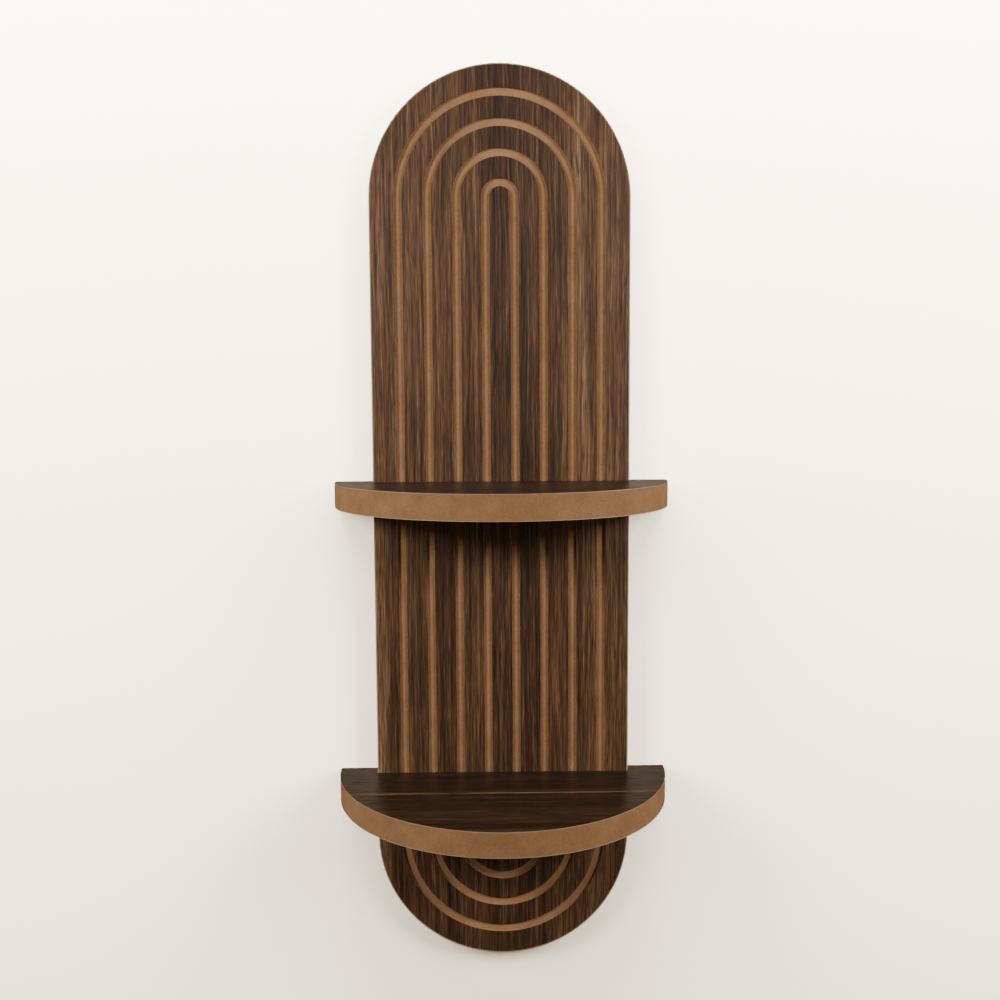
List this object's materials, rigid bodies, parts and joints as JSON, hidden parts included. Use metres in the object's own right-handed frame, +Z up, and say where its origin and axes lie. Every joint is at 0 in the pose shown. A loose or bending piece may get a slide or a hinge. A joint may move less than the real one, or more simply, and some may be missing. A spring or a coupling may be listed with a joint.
{
  "type": "wall shelf",
  "caption": "Tall round-ended wall board with looped grooves, carrying half-round shelves and hung flat on a wall.",
  "frame": {"origin": "centre of the backboard's back face, on the plane of the wall", "axes": "+Y into the wall, out of the board's back face; +Z up, along the board's length; +X to the right of a viewer in the room"},
  "size_m": [0.265, 0.1325, 0.7112],
  "materials": {
    "walnut_veneer": "satin lacquered walnut veneer",
    "mdf": "raw sanded medium-density fibreboard",
    "zinc_steel": "zinc plated"
  },
  "bodies": {
    "root": {"backboard_core": "mdf", "backboard_back_veneer": "walnut_veneer", "face_veneer_edge_loop": "walnut_veneer", "face_veneer_second_loop": "walnut_veneer", "face_veneer_third_loop": "walnut_veneer", "face_veneer_fourth_loop": "walnut_veneer", "face_veneer_centre_strip": "walnut_veneer", "upper_shelf_core": "mdf", "upper_shelf_top_veneer": "walnut_veneer", "upper_shelf_bottom_veneer": "walnut_veneer", "upper_shelf_screw_left": "zinc_steel", "upper_shelf_screw_centre": "zinc_steel", "upper_shelf_screw_right": "zinc_steel", "lower_shelf_core": "mdf", "lower_shelf_top_veneer": "walnut_veneer", "lower_shelf_bottom_veneer": "walnut_veneer", "lower_shelf_screw_left": "zinc_steel", "lower_shelf_screw_centre": "zinc_steel", "lower_shelf_screw_right": "zinc_steel", "keyhole_plate_left": "zinc_steel", "keyhole_plate_left_screw_top": "zinc_steel", "keyhole_plate_left_screw_bottom": "zinc_steel", "keyhole_plate_right": "zinc_steel", "keyhole_plate_right_screw_top": "zinc_steel", "keyhole_plate_right_screw_bottom": "zinc_steel"}
  },
  "joints": []
}
